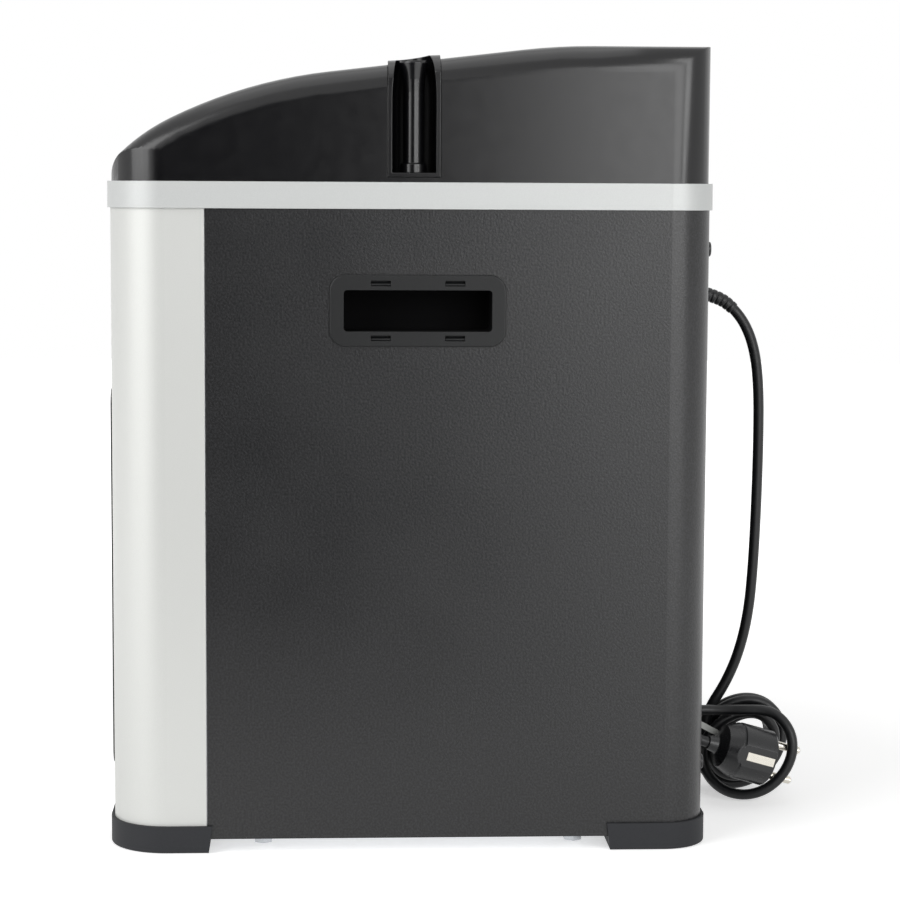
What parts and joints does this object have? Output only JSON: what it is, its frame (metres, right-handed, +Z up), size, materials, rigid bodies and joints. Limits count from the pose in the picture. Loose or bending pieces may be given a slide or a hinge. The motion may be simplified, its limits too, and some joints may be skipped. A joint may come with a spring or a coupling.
{
  "type": "water chiller",
  "caption": "Upright box water chiller: sloped glossy cover, silver band and front, dark side panel with grip, corner feet, mains cord.",
  "frame": {"origin": "on the floor, in the middle of the four feet", "axes": "+Z up, the front with the grille looks along -Y, +X is the side the picture shows"},
  "size_m": [0.244, 0.412, 0.4501],
  "materials": {
    "dark_steel": "fine textured powder coat",
    "silver_panel": "satin",
    "silver_trim": "satin silver paint",
    "gloss_black": "polished mould",
    "satin_black": "fine grain",
    "foot_plastic": "matt",
    "steel": "zinc plated",
    "black_paint": "satin black",
    "copper": "drawn",
    "fins": "mill finish",
    "foam": "closed cell foam",
    "filter_foam": "open foam",
    "water_plastic": "moulded",
    "rubber": "matt",
    "cord_pvc": "satin",
    "plug_plastic": "moulded",
    "nickel": "nickel plated",
    "tie_wire": "white",
    "window": "smoked acrylic",
    "board": "solder mask"
  },
  "bodies": {
    "casing": {"base_pan": "steel", "foot_front_left": "foot_plastic", "foot_front_right": "foot_plastic", "foot_rear_left": "foot_plastic", "foot_rear_right": "foot_plastic", "base_screws": "steel", "front_panel": "silver_panel", "wrap_panel": "dark_steel", "seam_strips": "steel", "top_band": "silver_trim", "top_cover": "gloss_black", "hose_bay_left": "gloss_black", "hose_bay_right": "gloss_black", "hose_spigot_left": "gloss_black", "hose_spigot_right": "gloss_black", "spigot_nuts": "satin_black", "side_grip_left": "satin_black", "side_grip_right": "satin_black", "control_plate": "satin_black", "display_window": "window", "display_board": "board", "condenser_fins": "fins", "condenser_tube": "copper", "fan_wall": "steel", "fan_motor": "black_paint", "motor_bracket": "steel", "compressor": "black_paint", "compressor_mounts": "rubber", "compressor_bolts": "steel", "water_vessel": "water_plastic", "vessel_jacket": "foam", "vessel_lid": "water_plastic", "temperature_probe": "nickel", "hose_left": "rubber", "hose_right": "rubber", "hot_gas_pipe": "copper", "filter_drier": "copper", "liquid_pipe": "copper", "feed_pipe": "copper", "suction_pipe": "copper", "electrical_box": "satin_black", "electrical_lid": "satin_black", "control_board": "board", "terminal_block": "water_plastic", "rear_screws": "black_paint", "cord_gland": "satin_black", "cord_tube": "cord_pvc", "cord_tail": "cord_pvc", "cord_coil": "cord_pvc", "cord_tie": "tie_wire", "plug_body": "plug_plastic", "plug_pins": "nickel", "plug_earth_clips": "nickel"},
    "fan": {"fan_blades": "satin_black", "fan_shaft": "steel"},
    "grille": {"intake_grille": "satin_black", "dust_filter": "filter_foam"},
    "power_button": {"key_power": "satin_black"},
    "down_button": {"key_down": "satin_black"},
    "up_button": {"key_up": "satin_black"}
  },
  "joints": [
    {"name": "fan_spin", "type": "hinge", "parent": "casing", "child": "fan", "pos_m": [0, -0.084, 0.112], "axis": [0, 1, 0], "continuous": true},
    {"name": "grille_pull", "type": "slide", "parent": "casing", "child": "grille", "axis": [0, -1, 0], "range_m": [0, 0.04]},
    {"name": "power_press", "type": "slide", "parent": "casing", "child": "power_button", "axis": [0, 0.342, -0.9397], "range_m": [0, 0.0008], "stiffness_N_per_m": 400, "springref_m": -0.001},
    {"name": "down_press", "type": "slide", "parent": "casing", "child": "down_button", "axis": [0, 0.342, -0.9397], "range_m": [0, 0.0008], "stiffness_N_per_m": 400, "springref_m": -0.001},
    {"name": "up_press", "type": "slide", "parent": "casing", "child": "up_button", "axis": [0, 0.342, -0.9397], "range_m": [0, 0.0008], "stiffness_N_per_m": 400, "springref_m": -0.001}
  ]
}
